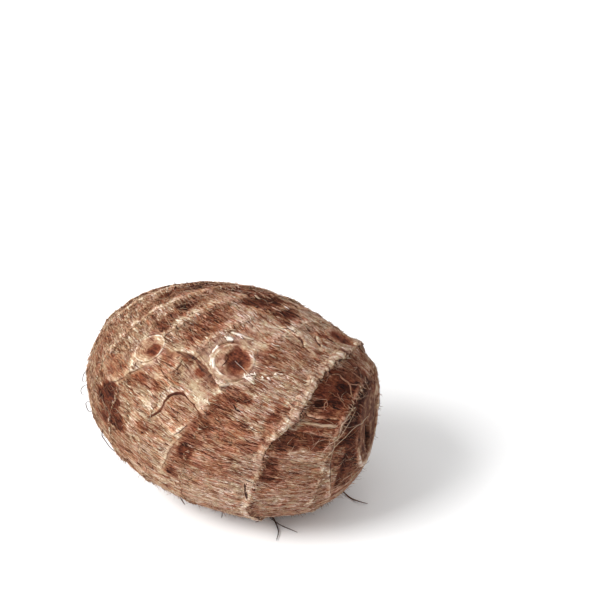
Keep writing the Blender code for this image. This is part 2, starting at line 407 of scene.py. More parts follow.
for places, edge_mm, gap_mm, _ in SHEATH_EDGES:
    route = on_body(*smooth_path(places, 1.0))
    near = np.argwhere(np.linalg.norm(body - route.mean(axis=0), axis=-1) < 18.0 * MM)
    rows, columns = near.T
    offset = (body[rows, columns][:, None] - route[None]) / MM
    nearest = np.linalg.norm(offset, axis=-1).argmin(axis=1)
    offset = offset[np.arange(len(offset)), nearest]
    off_mm = np.linalg.norm(offset, axis=-1)
    leftward = np.cross(body_normals[rows, columns], unit(np.gradient(route, axis=0))[nearest])
    left_mm = (offset * leftward).sum(axis=-1)
    fading = np.exp(-(off_mm / 2.2) ** 2)
    height_mm[rows, columns] += edge_mm * fading * np.tanh(left_mm / 0.35)
    # Painted light and shade: the higher sheath is a little lighter, the low side by the step a little
    # darker.
    tone[rows, columns] += 0.10 * fading * np.tanh(left_mm / 0.5)
    clear = np.where(left_mm < 0.0, np.exp(-(off_mm / (0.6 + gap_mm)) ** 4), np.exp(-(off_mm / 0.7) ** 4))
    bare[rows, columns] = np.maximum(bare[rows, columns], clear)

# Side buds: round or oval scars with raised rims about a sunken dark eye. Each is centre,
# half length and half width in mm, turn, then the eye's place and size in those halves, how
# ridged the scar is, the depth of its eye in mm and its shine. BUD_RIMS has each bud's rims:
# how far out, in those halves, way round and spread in degrees, width in those halves, height
# in mm and how much paler, which is pale rim tissue with a painted highlight on it.
BUDS = (
    # crown, round, long, wide, turn, eye along, across, long, wide, ridged, deep, shine
    (87.6, 59.3, 5.6, 5.4, -50, -0.02, 0.24, 0.78, 0.56, 0.35, 1, 1),
    (65.8, 41, 4.5, 3.2, 83, 0.14, -0.4, 0.46, 0.44, 1, 0.6, 0.7),
    (107, 116, 5.4, 4.2, 60, 0, 0, 0.8, 0.75, 0, 0.4, 0),
    (74, 172, 5, 4.4, 20, 0.1, 0, 0.55, 0.5, 0.7, 1.1, 0.5),
    (112, 222, 5.6, 5, -30, 0, 0.1, 0.6, 0.5, 0.5, 1.2, 0.7),
    (52, 285, 4.6, 3.6, 70, 0, 0, 0.5, 0.5, 0.8, 1, 0.4),
)
OTHER_RIMS = ((0.84, 200, 60, 0.05, 0.3, 0.25), (0.84, 20, 40, 0.05, 0.3, 0.2),
              (1.02, 230, 45, 0.06, 0.3, 0.22))
BUD_RIMS = (
    ((0.86, 180, 95, 0.05, 0.15, 0.12), (0.82, 236, 42, 0.05, 0.4, 1.2),
     (0.95, 218, 26, 0.04, 0.3, 0.9), (1.07, 186, 26, 0.09, 0.5, 1.3),
     (0.88, 135, 30, 0.04, 0.3, 0.3), (0.8, 66, 16, 0.055, 0.45, 1.2),
     (0.94, 50, 24, 0.05, 0.35, 0.5), (1.1, 28, 13, 0.07, 0.3, 0.8),
     (1.04, 344, 11, 0.08, 0.35, 0.9)),
    ((1, 25, 30, 0.055, 0.35, 0.45), (0.98, 128, 28, 0.06, 0.3, 0.6),
     (0.74, 85, 20, 0.06, 0.25, 0.45), (1.12, 82, 14, 0.07, 0.35, 1.1),
     (0.96, 240, 60, 0.07, 0.2, 0.15)),
    ((0.95, 200, 200, 0.08, 0.2, 0),), OTHER_RIMS, OTHER_RIMS, OTHER_RIMS)
pit_mm = 0.0 * crown_deg
for crown, around, long_mm, wide_mm, turn, *_, shine in BUDS:
    along, across = flat_map(crown, around, turn)
    out = np.hypot(along / long_mm, across / wide_mm)
    bare = np.maximum(bare, 1.0 - smooth_step(1.02, 1.20, out))
    height_mm += 0.25 * (1.0 - smooth_step(0.9, 1.6, out))
    pit_mm = np.maximum(pit_mm, 3.0 * (1.0 - smooth_step(0.80, 1.0, out)))
    gloss = np.maximum(gloss, shine * (1.0 - smooth_step(1.1, 1.6, out)))

# The crown disc, where the last shoot dried up: a pale torn rim, then the dark stubs of the
# last leaf bases one inside the other, and the shrunken shoot in the middle.
CROWN_DISC_MM = 11.0
LEAF_STEP_MM = 2.3                        # from one leaf base's stub to the next
SHOOT_MM = 2.2
from_crown_mm = np.linalg.norm(body - on_body(0.0, 0.0), axis=-1) / MM
wavy_mm = from_crown_mm + 1.5 * layered_noise(body, 6.0 * MM, 61, 2)
wavy_mm += 0.7 * layered_noise(body, 2.0 * MM, 62, 2)
disc = 1.0 - smooth_step(CROWN_DISC_MM * 0.92, CROWN_DISC_MM * 0.98, wavy_mm)
rim = np.exp(-((wavy_mm - CROWN_DISC_MM) / 0.8) ** 2)
torn = np.mod(wavy_mm / LEAF_STEP_MM, 1.0) ** 2.5
shoot = np.exp(-(from_crown_mm / SHOOT_MM) ** 4)
height_mm += 0.6 * rim - disc * (1.5 - 0.8 * torn - 1.6 * shoot)
torn *= 1.0 + layered_noise(coat_place, 1.4, 63, 3)
tone += disc * (0.14 + 0.46 * torn + 0.20 * shoot - tone)
tone += 0.12 * rim
red += disc * (0.55 - red)
bare = np.maximum(bare, np.maximum(disc, 0.8 * rim))

# The tip's scar: a pale rim round an olive-brown hollow of thin ridges, with an open fold
# across it, painted black as shade in its hollow. The tip is flatter there than the plain solid.
TIP_SCAR = (163.0, 70.0)
TIP_SCAR_MM = 10.8
TIP_RIDGE_MM = 1.7
FOLD_IN_SCAR = (2.5, -3.2)                # the fold's middle from the scar's middle, mm
FOLD_SIZE_MM = (6.8, 2.6)                 # half its length and half its width
FOLD_TURN_DEG = -18.0
along, across = flat_map(*TIP_SCAR, 0.0)
wavy_mm = np.hypot(along, across) + 0.9 * layered_noise(body, 4.0 * MM, 67, 3)
scar = 1.0 - smooth_step(TIP_SCAR_MM - 1.2, TIP_SCAR_MM - 0.6, wavy_mm)
rim = np.exp(-((wavy_mm - TIP_SCAR_MM) / 0.85) ** 2)
rim *= 0.45 + 0.55 * near_deg(np.degrees(np.arctan2(across, along)), 270.0, 50.0)
ridges = np.cos(wavy_mm * math.tau / TIP_RIDGE_MM) * (0.6 + layered_noise(body, 3.0 * MM, 71, 2))
fold_turn = math.radians(FOLD_TURN_DEG)
first, second = along - FOLD_IN_SCAR[0], across - FOLD_IN_SCAR[1]
fold = np.hypot((first * math.cos(fold_turn) + second * math.sin(fold_turn)) / FOLD_SIZE_MM[0],
                (second * math.cos(fold_turn) - first * math.sin(fold_turn)) / FOLD_SIZE_MM[1])
fold = 1.0 - smooth_step(0.80, 1.05, fold + 0.12 * layered_noise(body, 1.5 * MM, 73, 2))
height_mm -= 1.5 * (1.0 - smooth_step(4.0, 14.0, np.hypot(along, across - 3.0)))
height_mm += 0.65 * rim + scar * (0.10 * ridges - 0.25) - 1.5 * fold
tone += scar * (0.40 + 0.10 * ridges + 0.30 * layered_noise(body, 1.6 * MM, 69, 3) - tone)
# Painted shade: the fold's hollow is painted black.
tone += 0.44 * rim - fold * tone
red += np.maximum(scar, rim) * (0.15 - red)
bare = np.maximum(bare, np.maximum(np.maximum(scar, rim), fold))

ground_mm = height_mm                     # the height without the pits that the buds fill
height_mm = ground_mm - pit_mm
skin = body + body_normals * (height_mm * MM)[..., None]
skin[..., 2] = np.maximum(skin[..., 2], 0.0)
skin_normals = grid_normals(skin)


def new_piece(name, points, triangles, corner_map, point_values):
    """A mesh object at the origin, from arrays: points, triangles, a UV place for each
    corner of each triangle, and named values for each point."""
    mesh = bpy.data.meshes.new(name)
    mesh.vertices.add(len(points))
    mesh.vertices.foreach_set("co", np.ascontiguousarray(points, np.float32).ravel())
    mesh.loops.add(triangles.size)
    mesh.loops.foreach_set("vertex_index", np.ascontiguousarray(triangles, np.int32).ravel())
    mesh.polygons.add(len(triangles))
    mesh.polygons.foreach_set("loop_start", np.arange(len(triangles), dtype=np.int32) * 3)
    mesh.update(calc_edges=True)
    mesh.shade_smooth()
    uv_map = mesh.uv_layers.new(name="OFBake")
    uv_map.uv.foreach_set("vector", np.ascontiguousarray(corner_map, np.float32).ravel())
    for value_name, values in point_values.items():
        vector = values.ndim == 2
        kind = "FLOAT_VECTOR" if vector else "FLOAT"
        attribute = mesh.attributes.new(value_name, kind, "POINT")
        attribute.data.foreach_set("vector" if vector else "value",
                                   np.ascontiguousarray(values, np.float32).ravel())
    piece = bpy.data.objects.new(name, mesh)
    bpy.context.scene.collection.objects.link(piece)
    return piece


def grid_faces(rows, columns, ringed=False):
    """Triangles of a grid that closes round its columns, and each corner's place in a square.

    A ringed grid closes round its rows too. Any other comes to a point at both ends: point 0
    is the first pole, the last point is the other, and the rows lie between. The triangles
    face out where rows cross columns is out.
    """
    first = 0 if ringed else 1
    i, j = np.meshgrid(np.arange(rows - first), np.arange(columns), indexing="ij")
    down = np.array(((i, i + 1, i + 1), (i, i + 1, i))).reshape(2, 3, -1)
    across = np.array(((j, j, j + 1), (j, j + 1, j + 1))).reshape(2, 3, -1)
    down, across = (corners.swapaxes(1, 2).reshape(-1, 3) for corners in (down, across))
    triangles = first + down % rows * columns + across % columns
    if ringed:
        return triangles, np.stack((across / columns, down / rows), -1)
    ring = np.arange(columns)[:, None]
    beside = 1 + (ring + (0, 1)) % columns
    triangles = np.concatenate((triangles, np.hstack((0 * ring, beside)),
                                np.hstack((0 * ring + rows * columns + 1,
                                           beside[:, ::-1] + (rows - 1) * columns))))
    across = np.concatenate((across, ring + (0.5, 0, 1), ring + (0.5, 1, 0)))
    down = np.concatenate((down + 1, 0 * ring + (0, 1, 1), 0 * ring + (rows + 1, rows, rows)))
    return triangles, np.stack((across / columns, down / (rows + 1)), -1)


def with_poles(values):
    """A grid's values as a list of points: each end row becomes one point."""
    inner = values[1:-1].reshape((-1,) + values.shape[2:])
    return np.concatenate((values[:1, 0], inner, values[-1:, 0]))


TONE_COLOURS = (                          # share of the tone range, linear colour
    (0.00, (0.015, 0.005, 0.003, 1.0)),
    (0.20, (0.060, 0.020, 0.011, 1.0)),
    (0.42, (0.165, 0.068, 0.038, 1.0)),
    (0.62, (0.305, 0.180, 0.114, 1.0)),
    (0.80, (0.455, 0.335, 0.237, 1.0)),
    (0.92, (0.560, 0.450, 0.355, 1.0)),
    (1.00, (0.780, 0.700, 0.610, 1.0)),
)
RUST = (0.92, 0.57, 0.47, 1.0)            # what a tone is multiplied by where it is fully red
PINK = (1.02, 0.970, 1.05, 1.0)           # and what every tone is multiplied by, from place
OLIVE = (0.98, 1.00, 0.90, 1.0)           # to place: this or that


def fill(tree, socket, value):
    """Gives a shader socket a number, a colour or another node's output."""
    if isinstance(value, bpy.types.NodeSocket):
        tree.links.new(value, socket)
    else:
        socket.default_value = value


def node(tree, kind, **inputs):
    """A new shader node. Its inputs are named, or numbered as i0, i1 and so on."""
    new = tree.nodes.new(kind)
    for name, value in inputs.items():
        fill(tree, new.inputs[int(name[1:]) if name[0] == "i" else name.replace("_", " ")], value)
    return new


def arithmetic(tree, operation, *values):
    """Output of a Math node."""
    new = node(tree, "ShaderNodeMath", **{f"i{n}": value for n, value in enumerate(values)})
    new.operation = operation
    return new.outputs[0]


def times_plus(tree, value, factor, extra):
    """A value times a factor, plus an extra."""
    return arithmetic(tree, "MULTIPLY_ADD", value, factor, extra)


def noise(tree, place, scale, detail, roughness=0.5):
    """A noise texture's value."""
    return node(tree, "ShaderNodeTexNoise", Vector=place, Scale=scale, Detail=detail,
                Roughness=roughness).outputs["Fac"]


def point_value(tree, name, output="Fac"):
    """A named value of the mesh's points."""
    new = tree.nodes.new("ShaderNodeAttribute")
    new.attribute_name = name
    return new.outputs[output]


def object_place(tree):
    """The place on the object itself, in metres."""
    return tree.nodes.new("ShaderNodeTexCoord").outputs["Object"]


def stretched(tree, vector, factors):
    """A vector with each of its parts multiplied by a factor."""
    new = node(tree, "ShaderNodeVectorMath", i0=vector, i1=factors)
    new.operation = "MULTIPLY"
    return new.outputs[0]


def between(tree, value, start, end, lowest=0.0, highest=1.0):
    """The lowest value up to start, the highest from end on, and an even slope in between."""
    return node(tree, "ShaderNodeMapRange", Value=value, From_Min=start, From_Max=end,
                To_Min=lowest, To_Max=highest).outputs[0]


def mixed(tree, share, first, second, blend="MIX"):
    """A share of the way from the first colour to the second, or to their product."""
    new = tree.nodes.new("ShaderNodeMix")
    new.data_type = "RGBA"
    new.blend_type = blend
    for number, value in ((0, share), (6, first), (7, second)):   # its sockets for colours
        fill(tree, new.inputs[number], value)
    return new.outputs[2]


def tone_colour(tree, tone_socket, red_socket):
    """The tone's colour, turned towards rust by the share red, and a little towards pink or
    olive by a noise. The sheaths near the crown, at the left, are more olive."""
    ramp = node(tree, "ShaderNodeValToRGB", Fac=tone_socket)
    steps = ramp.color_ramp.elements
    steps[0].position, steps[0].color = TONE_COLOURS[0]
    steps[1].position, steps[1].color = TONE_COLOURS[-1]
    for position, colour in TONE_COLOURS[1:-1]:
        steps.new(position).color = colour
    place = object_place(tree)
    parts = node(tree, "ShaderNodeSeparateXYZ", Vector=place)
    leftness = between(tree, parts.outputs["X"], 0.004, -0.030)
    patchy = between(tree, noise(tree, place, 420.0, 4.0, 0.7), 0.38, 0.62)
    hue = mixed(tree, times_plus(tree, leftness, 0.4, patchy), PINK, OLIVE)
    rusted = mixed(tree, red_socket, ramp.outputs["Color"], RUST, "MULTIPLY")
    return mixed(tree, 1.0, rusted, hue, "MULTIPLY")


def new_material(name):
    """A new material, its node tree and its shader."""
    material = bpy.data.materials.new(name)
    material.use_nodes = True
    return material, material.node_tree, material.node_tree.nodes["Principled BSDF"]


def skin_material(name, cracked=False):
    """Matted sheath. Its tone is broken into streaks and dark dashes along the fibres, and
    into specks and blots where it is bare. Cracked tissue also has dark cracks round small
    plates, as deep as the mesh's own value says."""
    material, tree, shader = new_material(name)
    place = point_value(tree, "coat_place", "Vector")
    body_place = object_place(tree)
    bare_here, gloss_here = point_value(tree, "bare"), point_value(tree, "gloss")
    coat_here = times_plus(tree, bare_here, -0.80, 1.0)
    fine = noise(tree, place, 3.2, 3.0, 0.65)
    line = noise(tree, stretched(tree, place, (1.0, 1.0, 0.35)), 4.2, 2.0, 0.6)
    dash = noise(tree, stretched(tree, place, (1.0, 1.0, 0.45)), 1.9, 2.0, 0.55)
    rust = noise(tree, stretched(tree, place, (1.0, 1.0, 0.9)), 1.3, 4.0, 0.65)
    speck = noise(tree, body_place, 1400.0, 3.0, 0.6)
    blot = noise(tree, body_place, 420.0, 4.0, 0.7)
    dashes = between(tree, dash, 0.58, 0.66)
    rusty = arithmetic(tree, "MULTIPLY", between(tree, rust, 0.50, 0.58), coat_here)
    streak = times_plus(tree, line, 1.3, times_plus(tree, fine, 1.4, -1.35))
    streak = times_plus(tree, rusty, -0.13, times_plus(tree, dashes, -0.34, streak))
    specks = times_plus(tree, speck, 0.50, -0.25)
    specks = times_plus(tree, times_plus(tree, blot, 0.9, -0.45), bare_here, specks)
    toned = times_plus(tree, streak, coat_here, point_value(tree, "tone"))
    toned = arithmetic(tree, "ADD", toned, specks)
    relief = arithmetic(tree, "ADD", times_plus(tree, speck, 0.4, fine), line)
    relief = times_plus(tree, dashes, -0.5, relief)
    if cracked:
        warp = node(tree, "ShaderNodeTexNoise", Vector=body_place, Scale=500.0, Detail=2.0)
        warped = node(tree, "ShaderNodeVectorMath", i1=body_place,
                      i0=stretched(tree, warp.outputs["Color"], (0.0012,) * 3))
        plates = node(tree, "ShaderNodeTexVoronoi", Vector=warped.outputs[0], Scale=430.0)
        plates.feature = "DISTANCE_TO_EDGE"
        crack = arithmetic(tree, "MULTIPLY", point_value(tree, "cracks"),
                           between(tree, plates.outputs["Distance"], 0.02, 0.09, 1.0, 0.0))
        toned = times_plus(tree, crack, -0.50, toned)
        relief = times_plus(tree, crack, -1.2, relief)
    redder = times_plus(tree, rusty, 0.8, point_value(tree, "red"))
    dull = times_plus(tree, gloss_here, -0.50, 0.74)
    bump = node(tree, "ShaderNodeBump", Strength=0.9, Distance=0.25 * MM, Height=relief)
    fill(tree, shader.inputs["Base Color"], tone_colour(tree, toned, redder))
    fill(tree, shader.inputs["Roughness"], times_plus(tree, speck, 0.16, dull))
    fill(tree, shader.inputs["Specular IOR Level"], times_plus(tree, gloss_here, 0.55, 0.12))
    fill(tree, shader.inputs["Normal"], bump.outputs["Normal"])
    return material


skin_triangles, skin_map = grid_faces(SKIN_ROWS - 1, SKIN_COLUMNS)
corm_skin = new_piece("corm_skin", with_poles(skin), skin_triangles, skin_map, {
    "tone": with_poles(tone), "red": with_poles(red), "bare": with_poles(bare),
    "gloss": with_poles(gloss), "coat_place": with_poles(coat_place)})
corm_skin.data.materials.append(skin_material("corm_skin"))
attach(corm_skin, "root")
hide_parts("corm")

# --- Fibre coat ------------------------------------------------------------------------
# What is left of the old sheaths is a coat of flat fibres, combed from crown to tip. The
# lower layer is red-brown, the upper one is straw-coloured, and both stop at the lips.
PALEST_FIBRE = 0.87


def at_place(values, crown, around):
    """A skin grid's values at any places, mixed from the four nearest grid points."""
    crown, around = np.broadcast_arrays(crown, around)
    row = np.clip(crown / 180.0 * SKIN_ROWS, 0.0, SKIN_ROWS - 1e-6)
    column = np.mod(around, 360.0) / 360.0 * SKIN_COLUMNS
    i, j = np.floor(row).astype(int), np.floor(column).astype(int) % SKIN_COLUMNS
    next_j = (j + 1) % SKIN_COLUMNS
    extra = (1,) * (values.ndim - 2)
    s = (row - i).reshape(row.shape + extra)
    t = (column - np.floor(column)).reshape(row.shape + extra)
    upper = values[i, j] * (1.0 - t) + values[i, next_j] * t
    lower = values[i + 1, j] * (1.0 - t) + values[i + 1, next_j] * t
    return upper * (1.0 - s) + lower * s


def scattered(rng, count, weight):
    """Random places on the skin, as likely in each grid cell as its area times a weight."""
    share = np.cumsum((weight * mm_per_crown_deg * mm_per_round_deg)[:-1].ravel())
    cell = np.searchsorted(share, rng.random(count) * share[-1])
    i, j = np.divmod(cell, SKIN_COLUMNS)
    return ((i + rng.random(count)) * 180.0 / SKIN_ROWS,
            (j + rng.random(count)) * 360.0 / SKIN_COLUMNS)


def strand_mesh(name, places, normals, width_mm, thick_mm, tones, reds, taper_power=0.6):
    """Flat three-sided strands, pointed at both ends.

    places and normals are (strands, steps, 3). At a share t of its length a strand is
    width * sin(pi t) ^ power wide; two of its edges lie on the skin and the third stands up.
    """
    strands, steps = places.shape[:2]
    share = np.linspace(0.0, 1.0, steps)
    taper = np.abs(np.sin(np.pi * share)) ** taper_power
    taper[[0, -1]] = 0.0
    ahead = unit(np.gradient(places, axis=1))
    side = unit(np.cross(ahead, normals))
    half = (0.5 * MM * width_mm)[:, None, None] * taper[None, :, None]
    up = (MM * thick_mm)[:, None, None] * taper[None, :, None]
    corners = np.stack((places - side * half - normals * up * 0.3,
                        places + side * half - normals * up * 0.3,
                        places + normals * up), axis=2)
    points = np.concatenate((places[:, :1], corners[:, 1:-1].reshape(strands, -1, 3),
                             places[:, -1:]), axis=1)
    points[..., 2] = np.maximum(points[..., 2], 0.0)
    triangles, corner_map = grid_faces(steps - 2, 3)
    per_strand = 3 * (steps - 2) + 2
    start = (np.arange(strands) * per_strand)[:, None, None]
    cells = math.ceil(math.sqrt(strands))
    cell = np.stack(np.divmod(np.arange(strands), cells), -1)[:, None, None, :]
    maps = (cell + 0.08 + 0.84 * corner_map[None]) / cells
    step_of_point = np.concatenate(([0], np.repeat(np.arange(1, steps - 1), 3), [steps - 1]))
    return new_piece(name, points.reshape(-1, 3), (start + triangles[None]).reshape(-1, 3),
                     maps.reshape(-1, 2), {"tone": tones[:, step_of_point].ravel(),
                                           "red": reds[:, step_of_point].ravel()})


def free_share(crown, around, crown_step, around_step, rng):
    """What share of each step, in tenths, stays on the coat and off the worn places."""
    shares = np.linspace(0.1, 1.0, 10)
    worn = at_place(bare, crown[:, None] + crown_step[:, None] * shares,
                    around[:, None] + around_step[:, None] * shares)
    stopped = worn > rng.uniform(0.3, 0.7, (len(crown), 1))
    return np.where(stopped.any(axis=1), shares[stopped.argmax(axis=1)] - 0.1, 1.0)


def fibre_coat(name, seed, count, steps, long_mm, width_mm, thick_mm, lift_mm, tone_shift, dark_share):
    """Strands laid along the fibres, each stopping short of the lips on both sides of it.

    A strand's tone is the skin's there, plus the layer's shift and a random part. Strands
    where a streaky noise is high are dark and rusty: dark_share is how much darker.
    """
    rng = np.random.default_rng(seed)
    crown, around = scattered(rng, count, np.clip(1.0 - bare, 0.0, 1.0) * off_poles)
    length = rng.uniform(*long_mm, count)
    unruly = 8.0 + 12.0 * (1.0 - smooth_step(62.0, 80.0, crown))
    sway = np.radians(unruly * 1.6 * layered_noise(on_body(crown, around), 6.0 * MM, seed, 2)
                      + rng.normal(0.0, 1.0, count) * unruly * 0.7)
    per_crown = at_place(mm_per_crown_deg, crown, around)
    per_round = np.maximum(at_place(mm_per_round_deg, crown, around), 0.12)
    half_crown = 0.5 * length * np.cos(sway) / per_crown
    half_around = 0.5 * length * np.sin(sway) / per_round
    first = crown - half_crown * free_share(crown, around, -half_crown, -half_around, rng)
    final = crown + half_crown * free_share(crown, around, half_crown, half_around, rng)
    for ring in range(len(RINGS_DEG)):
        lip = lip_deg(ring, around)
        stops = rng.random(count) < 0.25 + 0.75 * RING_SHARP[ring]
        first = np.where(stops & (crown > lip), np.maximum(first, lip + 0.2), first)
        final = np.where(stops & (crown <= lip), np.minimum(final, lip - 0.1), final)
    final = np.maximum(final, first + 0.3)
    share = np.linspace(0.0, 1.0, steps)
    path_crown = np.clip(first[:, None] + (final - first)[:, None] * share, 1.0, 179.0)
    bow = rng.normal(0.0, 0.35, count)[:, None] * np.sin(np.pi * share)
    path_around = around[:, None] + ((path_crown - crown[:, None]) * (per_crown * np.tan(sway))[:, None]
                                     + bow) / per_round[:, None]
    normals = at_place(skin_normals, path_crown, path_around)
    lift = rng.uniform(*lift_mm, count)[:, None] + 0.03 * rng.normal(size=path_crown.shape)
    lift[:, [0, -1]] -= 0.08
    places = at_place(skin, path_crown, path_around) + normals * (MM * lift)[..., None]
    places[..., 2] = np.maximum(places[..., 2], 0.0)
    dark = smooth_step(0.0, 0.4, layered_noise(fibre_place(crown, around, 4.0), 0.9, seed, 2))
    rusty = smooth_step(0.05, 0.3, layered_noise(fibre_place(crown, around, 2.5), 1.3, seed + 3, 3))
    tones = at_place(tone, path_crown, path_around) + tone_shift
    tones += (rng.normal(0.0, 0.12, count) - dark_share * dark - 0.12 * rusty)[:, None]
    tones = np.minimum(tones, PALEST_FIBRE)
    reds = at_place(red, path_crown, path_around)
    reds += (rng.normal(0.0, 0.2, count) + 0.3 * dark + 0.6 * rusty)[:, None]
    return strand_mesh(name, places, normals, rng.uniform(*width_mm, count),
                       rng.uniform(*thick_mm, count), tones, reds)


def fibre_material(name):
    """Dry plant fibre: the strand's own tone with fine specks, and hardly any shine."""
    material, tree, shader = new_material(name)
    speck = noise(tree, object_place(tree), 900.0, 2.0)
    toned = times_plus(tree, speck, 0.3, arithmetic(tree, "SUBTRACT", point_value(tree, "tone"), 0.15))
    fill(tree, shader.inputs["Base Color"], tone_colour(tree, toned, point_value(tree, "red")))
    shader.inputs["Roughness"].default_value = 0.68
    shader.inputs["Specular IOR Level"].default_value = 0.15
    return material


COATS = (
    # name, seed, strands, steps, from least to most in mm: length, width, thickness, lift; then
    # how much paler than the skin, and how much darker its dark strands
    ("fibres_low", 101, 6000, 5, (2.5, 6.0), (0.22, 0.45), (0.04, 0.09), (0.00, 0.05), 0.00, 0.30),
    ("fibres_top", 102, 15600, 4, (1.2, 4.5), (0.12, 0.26), (0.05, 0.10), (0.02, 0.10), 0.04, 0.36),
)
for coat_row in COATS:
    coat = fibre_coat(*coat_row)
    coat.data.materials.append(fibre_material(coat.name))
    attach(coat, "root")

# --- Lips and torn edges ---------------------------------------------------------------
# Each leaf base ends in a thickened, cracked, pale lip that stands over a gap, painted dark as
# shade under the lip. The smaller torn edges between the sheaths are made the same way. They
# are skin tissue.
RING_LIP_SCALE = np.array((1.1, 1.0, 0.9, 0.9, 0.9, 0.5, 0.5, 1.55, 0.7))
LIP_STEP_MM = 0.33
LIP_HEIGHT_MM, LIP_GAP_MM = 0.42, 0.45    # the section's own, scaled to each lip's
# Section from the open side over the crest and back underneath: sideways mm, height mm, tone,
# whether that tone is over the gap's tone, and how far it wins over the skin's own.
LIP_SECTION = np.array((
    (0.80, -0.10, 0.20, 0, 0.0),
    # These three rows lie flat on the open side and take the gap's dark tone: painted shade under the
    # crest.
    (0.45, 0.07, 0.00, 1, 1.0),
    (0.18, 0.05, 0.00, 1, 1.0),
    (0.06, 0.15, 0.10, 1, 1.0),
    (0.00, 0.33, 0.74, 0, 0.9),
    (-0.30, 0.42, 0.90, 0, 0.9),
    (-0.95, 0.38, 0.88, 0, 0.9),
    (-1.60, 0.20, 0.82, 0, 0.6),
    (-2.20, -0.15, 0.60, 0, 0.0),
    (-1.40, -0.80, 0.30, 0, 0.0),
    (0.30, -0.80, 0.20, 0, 0.0),
))


def raised_strip(crown, around, closed, scale, left, edge_mm, gap_mm, gap_tone, paleness, seed):
    """A lip along a path on the skin, from LIP_SECTION: points, triangles, places in a
    square and values.

    crown and around are the path's angles, left is how much of the lip is left at each of
    its places, edge_mm and gap_mm are the heights and gap widths it is scaled to, gap_tone
    is the gap's dark tone, painted shade under the crest, and paleness is how far the lip's
    own tone wins over the skin's.
    """
    step_crown, step_around = np.gradient(crown), np.gradient(around)
    if closed:
        step_crown = np.roll(crown, -1) - np.roll(crown, 1)
        step_around = np.mod(np.roll(around, -1) - np.roll(around, 1), 360.0)
    per_crown = at_place(mm_per_crown_deg, crown, around)
    per_round = np.maximum(at_place(mm_per_round_deg, crown, around), 0.1)
    ahead = unit(np.stack((step_crown * per_crown, step_around * per_round), -1))
    path = on_body(crown, around)
    left = np.maximum(left, 0.05)         # so that no face shrinks to nothing
    sideways, heights, tones, over_gap, wins = LIP_SECTION.T
    raised = heights > 0.1
    wide = scale * (1.0 + 0.70 * layered_noise(path, 2.4 * MM, seed, 3)) * (0.5 + 0.5 * left)
    gap_wide = gap_mm / LIP_GAP_MM * left * (1.0 + 0.8 * layered_noise(path, 1.5 * MM, seed + 7, 3))
    offset = sideways * np.where(sideways > 0, gap_wide[:, None], wide[:, None])
    place_crown = crown[:, None] + offset * ahead[:, 1:] / per_crown[:, None]
    place_around = around[:, None] - offset * ahead[:, :1] / per_round[:, None]
    tall = (1.0 + 0.6 * layered_noise(path, 1.6 * MM, seed + 5, 2)) * left
    height = heights * np.where(raised, edge_mm / LIP_HEIGHT_MM * tall[:, None], 1.0)
    height -= 0.30 * (1.0 - smooth_step(0.0, 0.5, left))[:, None]
    normals = at_place(skin_normals, place_crown, place_around)
    points = at_place(skin, place_crown, place_around) + normals * (MM * height)[..., None]
    own = at_place(tone, place_crown, place_around)
    rough = layered_noise(points, 1.5 * MM, seed + 3, 3)
    crest = raised * tall[:, None]
    points += normals * (MM * 0.28 * edge_mm / LIP_HEIGHT_MM * crest * rough)[..., None]
    points[..., 2] = np.maximum(points[..., 2], 0.0)
    crack = 0.40 * smooth_step(0.30, 0.55, layered_noise(path, 1.1 * MM, seed + 9, 2))
    # The gap rows are painted shade: they take the gap's dark tone.
    tones = tones + over_gap * gap_tone - crack[:, None]
    win = wins * np.where(raised, paleness, 1.0) * np.clip(1.5 * left, 0.0, 1.0)[:, None]
    values = {
        "tone": own + win * (tones - own) + 0.15 * rough * wins,
        "red": at_place(red, place_crown, place_around) * (1.0 - 0.7 * win),
        "bare": 0.4 + 0.3 * win,
        "gloss": 0.25 * win,
        "cracks": 0.4 * crest * np.clip(scale, 0.0, 1.0),
        "coat_place": fibre_place(place_crown, place_around, 4.0),
    }
    triangles, corner_map = grid_faces(*own.shape, ringed=closed)
    points = points.reshape(-1, 3)
    values = {key: value.reshape((-1,) + value.shape[2:]) for key, value in values.items()}
    if not closed:                        # each end closes on the middle of its section
        ends = points[:len(heights)].mean(0), points[-len(heights):].mean(0)
        points = np.concatenate((ends[:1], points, ends[1:]))
        values = {key: np.concatenate((value[:1], value, value[-1:])) for key, value in values.items()}
    return points, triangles, corner_map, values


def joined(name, parts):
    """One piece made of several closed parts: points, triangles, places in the map, values."""
    all_points, all_triangles, all_maps, all_values = zip(*parts)
    starts = np.cumsum([0] + [len(points) for points in all_points])
    return new_piece(name, np.concatenate(all_points),
                     np.concatenate([part + start for part, start in zip(all_triangles, starts)]),
                     np.concatenate([part.reshape(-1, 2) for part in all_maps]),
                     {key: np.concatenate([values[key] for values in all_values])
                      for key in all_values[0]})


def in_bands(strips):
    """The strips, each with a band of the square map to itself."""
    for band, (points, triangles, corner_map, values) in enumerate(strips):
        across = (corner_map[..., 0] * 0.9 + 0.05 + band) / len(strips)
        yield points, triangles, np.stack((corner_map[..., 1], across), -1), values


